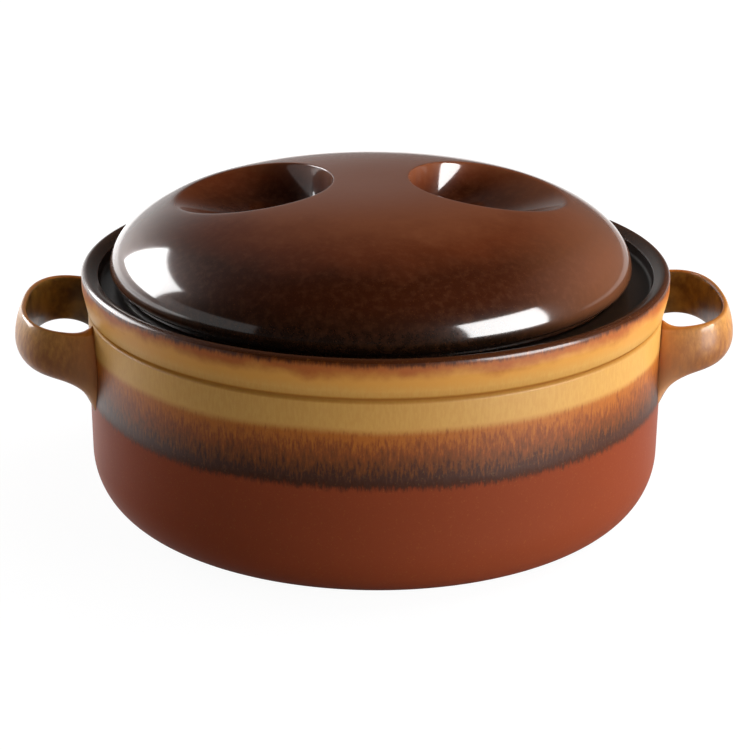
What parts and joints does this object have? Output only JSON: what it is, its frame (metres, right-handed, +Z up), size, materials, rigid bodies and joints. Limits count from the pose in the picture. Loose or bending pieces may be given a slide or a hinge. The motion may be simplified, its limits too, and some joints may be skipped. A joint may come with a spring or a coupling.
{
  "type": "covered casserole dish",
  "caption": "Round glazed stoneware casserole with strap handles and a loose domed lid that is gripped by a bridge between finger scoops.",
  "frame": {"origin": "on the surface that the dish stands on, on the pot's axis", "axes": "+Z up, +X from the pot's axis towards the right handle, +Y away from the viewer"},
  "size_m": [0.2952, 0.24, 0.1314],
  "materials": {
    "pot_glaze": "ochre to rust-red stoneware glaze in bands, glossy at the rim and satin at the foot",
    "handle_glaze": "glossy olive-brown and ochre stoneware glaze",
    "lid_glaze": "glossy chocolate-brown stoneware glaze"
  },
  "bodies": {
    "pot": {"pot": "pot_glaze", "handle_left": "handle_glaze", "handle_right": "handle_glaze"},
    "lid": {"lid": "lid_glaze"}
  },
  "joints": [
    {"name": "lid_lift", "type": "slide", "parent": "pot", "child": "lid", "axis": [0, 0, 1], "range_m": [0, 0.08]}
  ]
}
